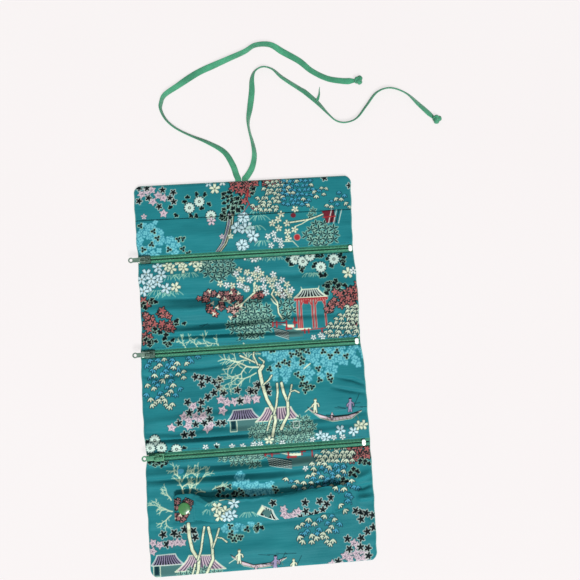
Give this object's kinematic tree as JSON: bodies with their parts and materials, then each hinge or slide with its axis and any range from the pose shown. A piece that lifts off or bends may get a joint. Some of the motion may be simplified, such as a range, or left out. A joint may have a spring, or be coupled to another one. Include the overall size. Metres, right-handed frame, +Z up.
{
  "type": "jewelry roll",
  "caption": "Padded brocade jewelry roll that folds in thirds: zipped pockets with sliders and pulls, a slip pocket, a ring bar held by a snap, and a tape tie that closes it.",
  "frame": {"origin": "centre of the underside of the middle panel, on the table", "axes": "+X across the roll towards the zippers' bottom stops, +Y along the roll towards the tie edge, +Z up from the table"},
  "size_m": [0.2804, 0.4549, 0.014],
  "materials": {
    "brocade": "teal satin brocade with a woven landscape",
    "padding": "soft white batting",
    "lining": "plain teal lining",
    "zip_tape": "woven green tape",
    "zip_coil": "green nylon",
    "zip_metal": "grey-green enamel",
    "stop_metal": "bright",
    "snap_cap": "glossy green enamel",
    "snap_metal": "nickel",
    "tie_tape": "woven green cord tape"
  },
  "bodies": {
    "middle_panel": {"middle_cover": "brocade", "middle_padding": "padding", "first_pocket_lower": "brocade", "first_lining_lower": "lining", "second_pocket": "brocade", "second_lining": "lining", "second_zip_tape_upper": "zip_tape", "second_zip_tape_lower": "zip_tape", "second_zip_coil_upper": "zip_coil", "second_zip_coil_lower": "zip_coil", "second_zip_top_stop_upper": "stop_metal", "second_zip_top_stop_lower": "stop_metal", "second_zip_bottom_stop": "stop_metal"},
    "upper_panel": {"upper_cover": "brocade", "upper_padding": "padding", "flap_facing": "brocade", "slip_pocket": "brocade", "first_pocket_upper": "brocade", "first_lining_upper": "lining", "first_zip_tape_upper": "zip_tape", "first_zip_tape_lower": "zip_tape", "first_zip_coil_upper": "zip_coil", "first_zip_coil_lower": "zip_coil", "first_zip_top_stop_upper": "stop_metal", "first_zip_top_stop_lower": "stop_metal", "first_zip_bottom_stop": "stop_metal", "tie_fold": "tie_tape", "tie_strand_left": "tie_tape", "tie_strand_right": "tie_tape", "tie_knot_left": "tie_tape", "tie_knot_right": "tie_tape"},
    "lower_panel": {"lower_cover": "brocade", "lower_padding": "padding", "second_pocket_hem": "brocade", "third_pocket": "brocade", "third_lining": "lining", "third_zip_tape_upper": "zip_tape", "third_zip_tape_lower": "zip_tape", "third_zip_coil_upper": "zip_coil", "third_zip_coil_lower": "zip_coil", "third_zip_top_stop_upper": "stop_metal", "third_zip_top_stop_lower": "stop_metal", "third_zip_bottom_stop": "stop_metal", "snap_post": "snap_metal", "snap_stud": "snap_metal"},
    "ring_bar": {"ring_bar_cover": "brocade", "ring_bar_stuffing": "padding", "snap_socket": "snap_metal", "snap_cap": "snap_cap"},
    "first_slider": {"first_zip_slider": "zip_metal"},
    "second_slider": {"second_zip_slider": "zip_metal"},
    "third_slider": {"third_zip_slider": "zip_metal"},
    "first_pull": {"first_zip_pull": "zip_metal"},
    "second_pull": {"second_zip_pull": "zip_metal"},
    "third_pull": {"third_zip_pull": "zip_metal"}
  },
  "joints": [
    {"name": "upper_fold", "type": "hinge", "parent": "middle_panel", "child": "upper_panel", "pos_m": [0, 0.055, 0.0149], "axis": [1, 0, 0], "range_deg": [0, 179.5]},
    {"name": "lower_fold", "type": "hinge", "parent": "middle_panel", "child": "lower_panel", "pos_m": [0, -0.055, 0.01], "axis": [-1, 0, 0], "range_deg": [0, 179.5]},
    {"name": "ring_bar_lift", "type": "hinge", "parent": "lower_panel", "child": "ring_bar", "pos_m": [0.075, -0.1083, 0.0055], "axis": [0, -1, 0], "range_deg": [-90, 0]},
    {"name": "first_slide", "type": "slide", "parent": "upper_panel", "child": "first_slider", "axis": [-1, 0, 0], "range_m": [-0.1698, 0], "deforming": ["first_zip_coil_upper", "first_zip_coil_lower"]},
    {"name": "second_slide", "type": "slide", "parent": "middle_panel", "child": "second_slider", "axis": [-1, 0, 0], "range_m": [-0.1698, 0], "deforming": ["second_zip_coil_upper", "second_zip_coil_lower"]},
    {"name": "third_slide", "type": "slide", "parent": "lower_panel", "child": "third_slider", "axis": [-1, 0, 0], "range_m": [-0.166, 0.0038], "deforming": ["third_zip_coil_upper", "third_zip_coil_lower"]},
    {"name": "first_pull_swing", "type": "hinge", "parent": "first_slider", "child": "first_pull", "pos_m": [-0.0866, 0.1, 0.00765], "axis": [0, -1, 0], "range_deg": [-180, 0]},
    {"name": "second_pull_swing", "type": "hinge", "parent": "second_slider", "child": "second_pull", "pos_m": [-0.0866, 0.0195, 0.00765], "axis": [0, -1, 0], "range_deg": [-180, 0]},
    {"name": "third_pull_swing", "type": "hinge", "parent": "third_slider", "child": "third_pull", "pos_m": [-0.0828, -0.0665, 0.00765], "axis": [0, -1, 0], "range_deg": [-180, 0]}
  ]
}
